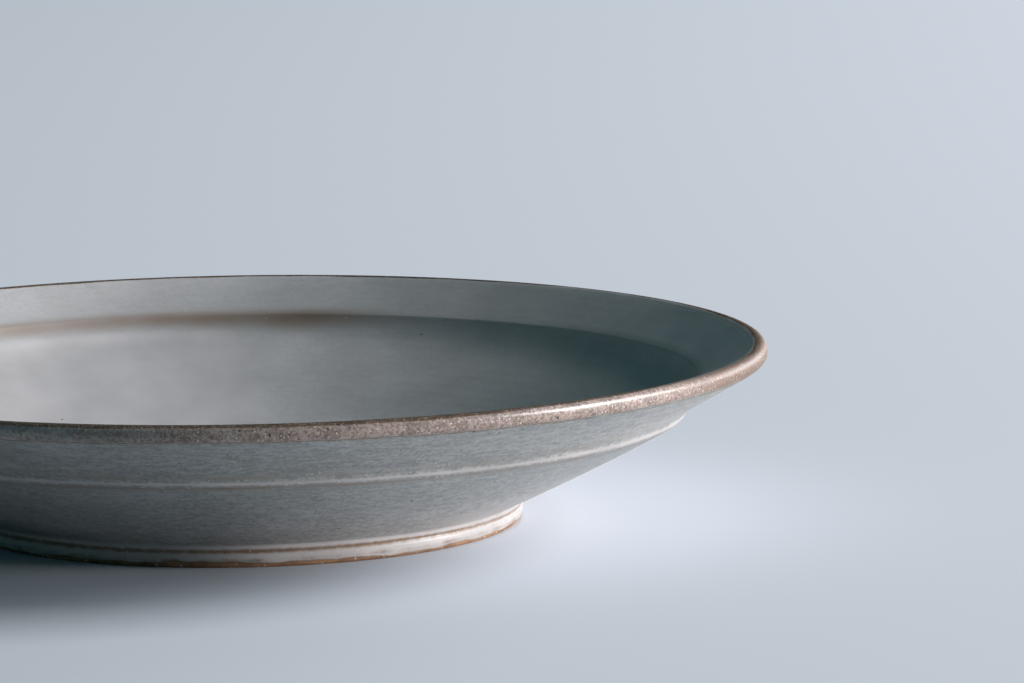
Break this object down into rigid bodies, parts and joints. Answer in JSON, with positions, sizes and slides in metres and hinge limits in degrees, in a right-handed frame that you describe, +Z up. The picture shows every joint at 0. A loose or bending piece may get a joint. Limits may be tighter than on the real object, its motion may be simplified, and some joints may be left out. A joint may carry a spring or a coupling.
{
  "type": "rimmed serving bowl",
  "caption": "Shallow thrown stoneware serving bowl with a sloping rim flange, rounded lip, raised bead outside and a low trimmed foot ring; holds food on a table.",
  "frame": {"origin": "centre of the foot ring's underside, at the level of the table", "axes": "+Z up along the bowl's axis; the bowl is round, so +X may point any way across it"},
  "size_m": [0.2796, 0.2796, 0.0467],
  "materials": {
    "bare_stoneware": "bare, sandy, red-brown fired clay",
    "inside_glaze": "satin grey glaze that breaks brown on the inner shoulder",
    "lip_glaze": "thin brown glaze with pale sand specks, satin to glossy",
    "outside_glaze": "satin grey glaze with fine turning streaks and brown breaks",
    "recess_glaze": "satin grey glaze"
  },
  "bodies": {
    "root": {"stoneware_body": "bare_stoneware", "inside_glaze": "inside_glaze", "lip_glaze": "lip_glaze", "outside_glaze": "outside_glaze", "recess_glaze": "recess_glaze"}
  },
  "joints": []
}
